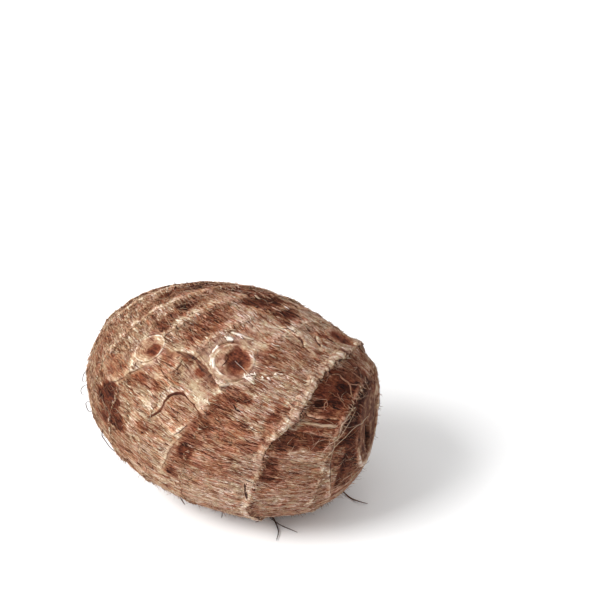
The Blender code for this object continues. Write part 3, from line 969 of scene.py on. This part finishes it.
ring_strips = []
for ring, (ring_deg, sharp, scale) in enumerate(zip(RINGS_DEG, RING_SHARP, RING_LIP_SCALE)):
    round_mm = 360.0 * at_place(mm_per_round_deg, ring_deg, np.arange(0.0, 360.0, 10.0)).mean()
    around = np.linspace(0.0, 360.0, int(round_mm / LIP_STEP_MM), endpoint=False)
    lip_path = on_body(0.0 * around + ring_deg, around)
    jag = layered_noise(lip_path, 2.2 * MM, 43, 4)
    crown = lip_deg(ring, around) + (0.75 + 0.75 * sharp) * jag
    broken = smooth_step(-0.4, 0.3, layered_noise(lip_path, 3.5 * MM, 45, 2) + sharp - 0.35)
    least = 0.55 - 0.30 * near_deg(around, 350.0, 40.0) if ring == BIG_RING else 0.0
    left = np.maximum(lip_strength(ring, around) * broken, least)
    # A sharper lip stands higher, and its gap is painted darker as deeper shade.
    ring_strips.append(raised_strip(crown, around, True, scale, left, (0.25 + 0.17 * sharp) * scale,
                                    (0.20 + 0.10 * sharp) * scale, 0.46 - 0.34 * sharp,
                                    0.35 + 0.65 * sharp, 200 + ring))
edge_strips = []
for number, (places, edge_mm, gap_mm, gap_tone) in enumerate(SHEATH_EDGES):
    crown, around = smooth_path(places, LIP_STEP_MM)
    along = np.linspace(0.0, 1.0, len(crown))
    jag = layered_noise(on_body(crown, around), 1.2 * MM, 47, 2)
    left = np.clip(np.sin(np.pi * along) ** 0.5 * (0.85 + 0.3 * jag), 0.0, 1.0)
    edge_strips.append(raised_strip(crown + 0.4 * jag, around + 0.6 * jag, False, 0.45, left,
                                    edge_mm, gap_mm, gap_tone, 0.6, 300 + number))
scar_lips = joined("scar_lips", in_bands(ring_strips))
sheath_edges = joined("sheath_edges", in_bands(edge_strips))
for lips in (scar_lips, sheath_edges):
    lips.data.materials.append(skin_material(lips.name, cracked=True))
    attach(lips, "root")

# --- Side buds -------------------------------------------------------------------------
# Each bud sat in the corner of a leaf base. It leaves a round scar of smooth, hard tissue,
# with thin shiny rims about the dark, shrunken bud itself.
BUD_ROWS = 48
BUD_COLUMNS = 110
BUD_REACH = 1.28             # where a bud's skirt ends under the skin, in its half sizes
BUD_TOP_MM = 0.72            # from the skirt to the smooth scar
BUD_RIDGE_MM = 0.62
bud_parts = []
bud_triangles, bud_map = grid_faces(BUD_ROWS - 1, BUD_COLUMNS)
bud_cells = math.ceil(math.sqrt(len(BUDS)))
for number, (crown, around, long_mm, wide_mm, turn, eye_along, eye_across, eye_long, eye_wide,
             ridged, deep_mm, shine) in enumerate(BUDS):
    out, way = np.meshgrid(np.linspace(0.0, BUD_REACH, BUD_ROWS),
                           np.arange(BUD_COLUMNS) * math.tau / BUD_COLUMNS, indexing="ij")
    first, second = out * np.cos(way), out * np.sin(way)
    turn_rad = math.radians(turn)
    along_mm, across_mm = first * long_mm, second * wide_mm
    to_tip = along_mm * math.cos(turn_rad) - across_mm * math.sin(turn_rad)
    to_side = along_mm * math.sin(turn_rad) + across_mm * math.cos(turn_rad)
    place_crown = crown + to_tip / at_place(mm_per_crown_deg, crown, around)
    place_around = around + to_side / at_place(mm_per_round_deg, crown, around)
    base = on_body(place_crown, place_around)
    rough = layered_noise(base, 1.6 * MM, 400 + number, 3)
    fine = layered_noise(base, 0.6 * MM, 420 + number, 2)
    patchy = np.clip(0.75 + 1.5 * layered_noise(base, 1.2 * MM, 440 + number, 3), 0.10, 1.4)
    spots = layered_noise(base, 1.0 * MM, 460 + number, 3)
    eye = np.hypot((first - eye_along) / eye_long, (second - eye_across) / eye_wide) + 0.16 * rough
    eye_in = 1.0 - smooth_step(0.75, 1.10, eye)
    wavy = out + 0.05 * rough
    way_deg = np.degrees(way) + turn
    # Each rim raises the scar and whitens it: pale rim tissue with a painted highlight.
    rims, whiter_and_glint = 0.0 * out, 0.0 * out
    for rim_out, rim_way, spread, rim_wide, rim_mm, paler_and_glint in BUD_RIMS[number]:
        rim = np.exp(-((wavy - rim_out) / rim_wide) ** 2) * near_deg(way_deg, rim_way, spread) * patchy
        rims += rim_mm * rim
        whiter_and_glint += paler_and_glint * rim
    ridges = np.cos(wavy * (long_mm + wide_mm) / 2.0 * math.tau / BUD_RIDGE_MM) * (1.0 - eye_in)
    ridges *= ridged * (0.25 + 0.75 * near_deg(way_deg, 245.0, 70.0)) * (1.0 - smooth_step(0.8, 1.0, out))
    top = BUD_TOP_MM + rims + 0.07 * ridges + 0.12 * rough * (1.0 - smooth_step(0.7, 1.0, out))
    top += 0.05 * fine - eye_in * (deep_mm + 0.35 * rough + 0.10 * fine)
    top -= BUD_TOP_MM * smooth_step(0.98, 1.10, out) + 1.0 * smooth_step(1.12, BUD_REACH, out)
    own = at_place(tone, place_crown, place_around)
    bud_tone = 0.66 + 0.12 * ridges + 0.26 * rough + 0.12 * fine
    bud_tone += smooth_step(0.82, 0.98, wavy) * (own - bud_tone) + whiter_and_glint
    sunken = smooth_step(0.0, 0.9, eye)
    # Painted shade: the eye is darker the deeper its pit.
    eye_tone = 0.34 - 0.12 * deep_mm + 0.22 * sunken ** 2 + 0.06 * first + 0.18 * spots
    bud_tone += eye_in * (eye_tone - bud_tone)
    normals = at_place(body_normals, place_crown, place_around)
    over_mm = at_place(ground_mm, place_crown, place_around)
    smooth_mm = over_mm[-1].mean()
    height = smooth_mm + smooth_step(0.5, 1.0, out) * (over_mm - smooth_mm) - 0.65
    points = base + normals * (MM * (height + top))[..., None]
    under = points[-1].mean(axis=0) - normals[0, 0] * 2.5 * MM
    bud_values = {
        "tone": bud_tone, "red": 0.25 + 0.70 * eye_in - 0.5 * whiter_and_glint, "bare": 0.8 + 0.0 * out,
        "gloss": shine * np.clip(0.30 + 2.0 * whiter_and_glint, 0.0, 1.0) * (1.0 - 0.6 * eye_in),
        "coat_place": fibre_place(place_crown, place_around, 4.0)}
    cell = np.array(divmod(number, bud_cells))
    bud_parts.append((
        np.concatenate((points[:1, 0], points[1:].reshape(-1, 3), under[None])), bud_triangles,
        (cell + 0.02 + 0.96 * bud_map) / bud_cells,
        {key: np.concatenate((value[:1, 0], value[1:].reshape((-1,) + value.shape[2:]), value[-1:, 0]))
         for key, value in bud_values.items()}))

side_buds = joined("side_buds", bud_parts)
side_buds.data.materials.append(skin_material("side_buds"))
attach(side_buds, "root")

# --- Frayed ends and loose hairs -------------------------------------------------------
# Fibres fray where they run out over a lip, and thin hairs have come loose from the coat
# and lie criss-cross over it. A few dark roots still stick out.


def free_strands(name, rng, crown, around, heading_deg, length, width_mm, lift_start, lift_end,
                 curl, steps, tones, reds):
    """Strands that start at a place on the skin, head a way, and lift off it along the way.

    Heading is 0 towards the tip and 90 round the corm. Lift grows with the square of the
    share of the length, and curl bends a strand sideways by that share of its length.
    """
    share = np.linspace(0.0, 1.0, steps)[None]
    way = np.radians(heading_deg)[:, None]
    bend = curl[:, None] * np.sin(np.pi * share * rng.uniform(0.8, 1.6, len(crown))[:, None])
    first = length[:, None] * (share * np.cos(way) - bend * np.sin(way))
    second = length[:, None] * (share * np.sin(way) + bend * np.cos(way))
    per_crown = at_place(mm_per_crown_deg, crown, around)[:, None]
    path_crown = np.clip(crown[:, None] + first / per_crown, 1.0, 179.0)
    per_round = np.maximum(at_place(mm_per_round_deg, path_crown, around[:, None]), 0.15)
    path_around = around[:, None] + second / per_round
    normals = at_place(skin_normals, path_crown, path_around)
    lift = lift_start[:, None] + (lift_end - lift_start)[:, None] * share ** 2
    lift += 0.10 * rng.normal(size=path_crown.shape)
    places = at_place(skin, path_crown, path_around) + normals * (MM * lift)[..., None]
    places[..., 2] = np.maximum(places[..., 2], 0.25 * MM)
    ones = np.ones_like(path_crown)
    return strand_mesh(name, places, normals, width_mm, width_mm * 0.6, tones[:, None] * ones,
                       reds[:, None] * ones)


rng = np.random.default_rng(501)
fray_count = 3600                         # most of them on the soft lips
fray_share = RING_LIP_SCALE * (1.0 - 0.8 * RING_SHARP)
ring_of = rng.choice(len(RINGS_DEG), fray_count, p=fray_share / fray_share.sum())
fray_around = rng.uniform(0.0, 360.0, fray_count)
fray_crown = np.zeros(fray_count)
fray_left = np.zeros(fray_count)
for ring in range(len(RINGS_DEG)):
    mine = ring_of == ring
    fray_crown[mine] = lip_deg(ring, fray_around[mine])
    fray_left[mine] = lip_strength(ring, fray_around[mine])
fray_length = rng.uniform(1.2, 3.4, fray_count) * (0.4 + 0.6 * fray_left)
fray_crown -= fray_length * rng.uniform(0.3, 0.9, fray_count)
frayed_ends = free_strands(
    "frayed_ends", rng, fray_crown, fray_around, rng.normal(0.0, 22.0, fray_count), fray_length,
    rng.uniform(0.16, 0.34, fray_count), rng.uniform(0.0, 0.15, fray_count),
    rng.uniform(0.1, 0.7, fray_count), rng.normal(0.0, 0.12, fray_count), 5,
    rng.normal(0.66, 0.17, fray_count), rng.uniform(0.0, 0.6, fray_count))

stray_count = 1900
rooted = (1.0 - 0.8 * bare) * off_poles   # few hairs are rooted in bare tissue
matted = np.exp(-((crown_deg - 52.0) / 11.0) ** 2)
stray_weight = 0.15 + 2.6 * matted + 0.4 * smooth_step(112.0, 124.0, crown_deg)
stray_crown, stray_around = scattered(rng, stray_count, stray_weight * rooted)
loose_hairs = free_strands(
    "loose_hairs", rng, stray_crown, stray_around, rng.uniform(-75.0, 75.0, stray_count),
    rng.uniform(1.5, 6.0, stray_count), rng.uniform(0.06, 0.12, stray_count),
    rng.uniform(0.0, 0.20, stray_count), rng.uniform(0.05, 0.4, stray_count),
    rng.normal(0.0, 0.16, stray_count), 6, np.clip(rng.normal(0.72, 0.12, stray_count), 0.3, 0.84),
    rng.uniform(0.0, 0.4, stray_count))

fuzz_count = 2200
fuzz_crown, fuzz_around = scattered(rng, fuzz_count, rooted)
fuzz = free_strands(
    "fuzz", rng, fuzz_crown, fuzz_around, rng.normal(0.0, 50.0, fuzz_count),
    rng.uniform(0.8, 3.2, fuzz_count), rng.uniform(0.07, 0.15, fuzz_count),
    rng.uniform(-0.1, 0.1, fuzz_count), rng.uniform(0.3, 1.5, fuzz_count) ** 1.5,
    rng.normal(0.0, 0.20, fuzz_count), 5, np.clip(rng.normal(0.52, 0.14, fuzz_count), 0.15, 0.80),
    rng.uniform(0.0, 0.6, fuzz_count))

# Painted highlights: white flecks beside the two biggest buds, for the glints on their shiny
# scars. Each patch of them is its centre, its reach in mm and its share of them.
HIGHLIGHT_FLECKS = ((81, 70.5, 1.8, 0.25), (95, 57.5, 1.3, 0.7), (99.5, 58, 2, 0.35), (66.5, 50, 0.8, 0.35))
highlight_fleck_weight = 0.0 * crown_deg
for crown, around, reach_mm, share in HIGHLIGHT_FLECKS:
    along, across = flat_map(crown, around, 0.0)
    highlight_fleck_weight += share * np.exp(-(np.hypot(along, across) / reach_mm) ** 2)
highlight_fleck_count = 16
highlight_fleck_crown, highlight_fleck_around = scattered(rng, highlight_fleck_count, highlight_fleck_weight)
highlight_flecks = free_strands(
    "highlight_flecks", rng, highlight_fleck_crown, highlight_fleck_around, rng.normal(5.0, 25.0, highlight_fleck_count),
    rng.uniform(0.8, 2.2, highlight_fleck_count), rng.uniform(0.30, 0.80, highlight_fleck_count),
    rng.uniform(0.0, 0.12, highlight_fleck_count), rng.uniform(0.1, 0.30, highlight_fleck_count),
    rng.normal(0.0, 0.12, highlight_fleck_count), 5, rng.uniform(0.82, 1.20, highlight_fleck_count),
    rng.uniform(0.0, 0.15, highlight_fleck_count))
for hairs in (frayed_ends, loose_hairs, fuzz, highlight_flecks):
    hairs.data.materials.append(fibre_material(hairs.name))
    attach(hairs, "root")

# --- Veins, cracks, painted light and single hairs -------------------------------------
# Pale veins stand up from the bare maroon tissue near the tip, thin cracks run across the
# sheaths, and a few long hairs and dry roots lie on the corm or stick out from it. Some rows are
# painted light: dark strokes of painted shadow along the arch, and white strokes of painted
# highlight round the big bud.
VEINS_AND_PAINTED_LIGHT = (
    # width mm, thickness mm, tone, red, then places: crown, round and maybe height in mm
    (0.6, 0.12, 0.58, 0.3, ((118, 82), (121, 84), (125, 83), (128, 82), (131, 77), (133, 74))),
    (0.42, 0.12, 0.62, 0.25, ((128, 82), (131, 84), (135, 87), (138, 85), (141, 83))),
    (0.42, 0.12, 0.6, 0.25, ((135, 88), (138, 94), (142, 94), (143, 99))),
    (0.32, 0.12, 0.58, 0.3, ((118, 82), (117.5, 78), (118, 74))),
    (0.3, 0.12, 0.62, 0.3, ((117, 59), (117, 62), (120, 63), (123, 64), (123, 61), (124, 57))),
    (0.24, 0.1, 0.58, 0.3, ((123, 64), (124, 60), (120.5, 57), (118, 58))),
    (0.26, 0.1, 0.6, 0.3, ((117.5, 55), (118, 52), (121, 51), (124, 52), (133, 50))),
    (0.4, 0.1, 0.54, 0.35, ((122, 92), (126, 92), (131, 92), (137, 93))),
    (0.34, 0.1, 0.52, 0.4, ((125, 72), (131, 66), (137, 62), (142, 62))),
    (0.22, 0.1, 0.5, 0.4, ((121, 70), (127, 69), (133, 71))),
    (1.2, 0.08, 0.72, 0.1, ((117, 44.5), (122, 46.5), (126, 47), (130, 49), (134, 50))),
    (0.6, 0.1, 0.78, 0.05, ((119, 45.5), (123, 47), (127, 48), (132, 49.5))),
    (0.9, 0.4, 0.8, 0.05, ((138, 69), (136, 64), (135, 57), (134, 51), (135, 44), (135.5, 38))),
    (0.8, 0.4, 0.84, 0.05, ((134, 53), (135, 49), (135, 46), (135.5, 43))),
    (0.9, 0.35, 0.74, 0.1, ((134.5, 40), (135.5, 35), (135.5, 30), (136.5, 24))),
    # Painted shadow: the next four rows are dark maroon strokes where the arch's overlapping edge shades
    # the tissue under it.
    (1.15, 0.08, 0.23, 0.9, ((80.1, 28, 0.08), (80.8, 31, 0.1), (82.2, 33, 0.1), (84.2, 33.4, 0.08))),
    (0.7, 0.06, 0.28, 0.9, ((78.4, 13.5, 0.06), (79.4, 16.5, 0.06), (80.3, 20.5, 0.06))),
    (0.45, 0.06, 0.33, 0.9, ((79.7, 16, 0.06), (80.4, 20.5, 0.06), (80.2, 25.5, 0.08), (81, 30, 0.08))),
    (0.36, 0.06, 0.32, 0.8, ((83.8, 33.4, 0.08), (86, 32, 0.08), (88, 30.9, 0.08), (90.5, 29.2, 0.06))),
    (0.3, 0.06, 0.24, 0.6, ((137, 22), (138.5, 13), (139.5, 7), (141, 357))),
    (0.34, 0.08, 0.16, 0.6, ((86.4, 54.2, 0.3), (86.2, 57, 0.3), (85.8, 60, 0.25))),
    (0.45, 0.06, 0.16, 0.5, ((117, 54), (119, 51), (123, 51), (127, 53), (132, 54))),
    (0.35, 0.06, 0.18, 0.6, ((117, 77), (118, 82), (121, 83), (124, 80))),
    (0.4, 0.06, 0.18, 0.5, ((114, 39), (119, 37), (122, 35))),
    (0.4, 0.07, 0.32, 0.4, ((70, 39), (72, 38), (75, 36), (78, 34))),
    (0.35, 0.06, 0.16, 0.6, ((83, 347), (83, 341))),
    (0.35, 0.06, 0.16, 0.6, ((94, 348), (95, 351))),
    (0.4, 0.07, 0.12, 0.4, ((110, 359), (110.5, 355), (111, 350), (112, 345), (113, 341))),
    (0.35, 0.06, 0.14, 0.4, ((109, 2), (111, 1.5), (113, 1))),
    (0.35, 0.06, 0.14, 0.4, ((109, 10), (112, 10))),
    (0.35, 0.06, 0.18, 0.5, ((88, 90), (90, 92), (94, 92), (97, 90))),
    # Painted highlight: the next eight rows are white strokes for the glints on the big bud's shiny scar.
    (1.5, 0.1, 1.05, 0, ((79.9, 66.8, 0.1), (80.9, 67.8, 0.1), (82.1, 68.4, 0.1))),
    (1.1, 0.08, 0.98, 0, ((79.2, 71.2, 0.08), (80.5, 72, 0.08), (82.2, 72.8, 0.08))),
    (0.8, 0.08, 0.9, 0, ((81.8, 72.8, 0.1), (84, 73.6, 0.1), (86.2, 75, 0.1))),
    (0.75, 0.08, 0.98, 0, ((81.4, 57.2, 0.1), (80.9, 59.4, 0.1), (80.2, 61.6, 0.1))),
    (1, 0.08, 0.86, 0, ((89.8, 45.7, 0.08), (90.7, 46.9, 0.08), (91.8, 48.4, 0.08))),
    (0.55, 0.12, 0.98, 0, ((90.2, 66.8, 0.15), (91.5, 66.3, 0.15), (92.8, 65.6, 0.1))),
    (0.7, 0.2, 0.98, 0, ((93.2, 57.2, 0.15), (94.4, 56, 0.1), (96, 55.2, 0.1), (98, 54.8, 0.1))),
    (0.3, 0.15, 0.84, 0, ((97, 60), (99, 59), (102, 58))),
    (0.7, 0.2, 0.88, 0, ((83, 86), (86, 88), (88, 90))),
)
HAIRS = (
    # width mm, thickness mm, tone, red, then places: crown, round, height over the body in mm
    (0.1, 0.1, 0.84, 0.05, ((132, 22, 0.3), (135, 34, 0.5), (138, 44, 0.9), (141, 53, 1),
                            (146, 60, 0.9), (154, 73, 0.4))),
    (0.09, 0.09, 0.84, 0.1, ((130, 25, 0.3), (132, 36, 0.6), (135, 43, 0.8), (137, 57, 0.8),
                             (138, 69, 0.4))),
    (0.09, 0.09, 0.82, 0.1, ((133, 60, 0.4), (136, 59, 0.8), (134, 53, 0.6), (134, 46, 0.4))),
    (0.09, 0.09, 0.82, 0.1, ((134, 50, 0.3), (139, 52, 0.6), (145, 59, 0.8), (155, 74, 0.5))),
    (0.08, 0.08, 0.78, 0.1, ((126, 34, 0.3), (128, 38, 0.7), (131, 40, 0.7), (133, 36, 0.3))),
    (0.1, 0.1, 0.98, 0, ((88, 60, 0.2), (90, 59, 0.7), (93, 58, 0.9), (96, 57, 0.7),
                         (100, 57, 0.4), (102, 56, 0.2))),
    (0.35, 0.3, 0.1, 0.3, ((109, 286, -0.6), (112, 289, 0.6), (115, 293, 1.6), (117, 297, 2.8),
                           (119, 303, 4.6), (119, 308, 6.8))),
    (0.2, 0.18, 0.16, 0.3, ((113, 291, 0.8), (115, 294, 1.8), (119, 298, 3.1), (122, 300, 4),
                            (126, 303, 5.4))),
    (0.22, 0.2, 0.3, 0.7, ((108, 288, -0.4), (110, 292, 1.2), (110, 295, 1.8), (109, 296, 2.2))),
    (0.38, 0.34, 0.3, 0.6, ((136, 262, 0), (138, 262, 3), (142, 268, 5.5), (146, 273, 7.2),
                            (149, 275, 9.4))),
    (0.16, 0.16, 0.2, 0.4, ((47, 3, -0.2), (45, 356, 0.9), (46, 352, 1.2), (48, 354, 0.6))),
    (0.18, 0.18, 0.16, 0.4, ((50, 355, -0.2), (47, 350, 1), (47, 347, 2), (49, 347, 1.8), (50, 349, 0.8))),
    (0.2, 0.2, 0.14, 0.4, ((48, 337, -0.2), (50, 342, 1.2), (52, 339, 1.2), (54, 341, 0.1))),
    (0.2, 0.2, 0.16, 0.4, ((62, 342, -0.2), (59, 331, 0.8), (61, 332, 1), (63, 328, 0.8), (64, 323, 0.2))),
    (0.22, 0.22, 0.24, 0.6, ((82, 304, -0.3), (84, 303, 1), (87, 306, 1.8))),
    (0.22, 0.22, 0.2, 0.6, ((97, 300, -0.3), (98, 300, 1.2), (99, 303, 2.2))),
)


def laid_lines(name, rows, steps, wobble_mm):
    """One tapering line for each row, along the smooth curve through its places. It sways by
    a smooth noise, and lies just over the skin where the row gives no heights."""
    places, normals = [], []
    for row in rows:
        crown, around, *lift = smooth_path(row[4], count=steps)
        lift = lift[0] if lift else 0.04
        sway = wobble_mm * layered_noise(on_body(crown, around), 1.4 * MM, 503, 3)
        crown = crown + sway / at_place(mm_per_crown_deg, crown, around)
        around = around + sway / np.maximum(at_place(mm_per_round_deg, crown, around), 0.2)
        over = at_place(ground_mm, crown, around) + lift
        normals.append(at_place(body_normals, crown, around))
        places.append(on_body(crown, around) + normals[-1] * (MM * over)[:, None])
    places = np.array(places)
    places[..., 2] = np.maximum(places[..., 2], 0.1 * MM)
    width, thick, line_tone, line_red = np.array([row[:4] for row in rows]).T
    ones = np.ones((len(rows), steps))
    return strand_mesh(name, places, np.array(normals), width, thick, line_tone[:, None] * ones,
                       line_red[:, None] * ones, 0.3)


veins_and_painted_light = laid_lines("veins_and_painted_light", VEINS_AND_PAINTED_LIGHT, 30, 0.35)
single_hairs = laid_lines("single_hairs", HAIRS, 26, 0.10)
for lines in (veins_and_painted_light, single_hairs):
    lines.data.materials.append(fibre_material(lines.name))
    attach(lines, "root")

# --- Floor and light -------------------------------------------------------------------
# A plain white sheet, lit by a bright even room and one large soft lamp high on the left.
FLOOR_HALF = 3.0
FLOOR_COLOUR = (0.92, 0.92, 0.92, 1.0)
ROOM_STRENGTH = 0.78
LAMP_PLACE = (-0.60, -0.28, 0.66)
LAMP_SIZE = 0.45
LAMP_WATTS = 10.2

corners = [(x * FLOOR_HALF, y * FLOOR_HALF, 0.0) for x, y in ((-1, -1), (1, -1), (1, 1), (-1, 1))]
floor_mesh = bpy.data.meshes.new("floor")
floor_mesh.from_pydata(corners, [], [(0, 1, 2, 3)])
floor = bpy.data.objects.new("floor", floor_mesh)
bpy.context.scene.collection.objects.link(floor)
floor_finish = bpy.data.materials.new("floor")
floor_finish.use_nodes = True
floor_finish.node_tree.nodes["Principled BSDF"].inputs["Base Color"].default_value = FLOOR_COLOUR
floor_finish.node_tree.nodes["Principled BSDF"].inputs["Roughness"].default_value = 0.9
floor_mesh.materials.append(floor_finish)

room = bpy.data.worlds.new("room")
room.use_nodes = True
room.node_tree.nodes["Background"].inputs["Color"].default_value = (1.0, 1.0, 1.0, 1.0)
room.node_tree.nodes["Background"].inputs["Strength"].default_value = ROOM_STRENGTH
bpy.context.scene.world = room

lamp_data = bpy.data.lights.new("lamp", "AREA")
lamp_data.size = LAMP_SIZE
lamp_data.energy = LAMP_WATTS
lamp = bpy.data.objects.new("lamp", lamp_data)
bpy.context.scene.collection.objects.link(lamp)
lamp.location = LAMP_PLACE
toward = low + box_size / 2.0 - np.array(LAMP_PLACE)
lamp.rotation_euler = (math.atan2(math.hypot(toward[0], toward[1]), -toward[2]), 0.0,
                       math.atan2(-toward[0], toward[1]))
bpy.context.scene.view_settings.view_transform = "Standard"
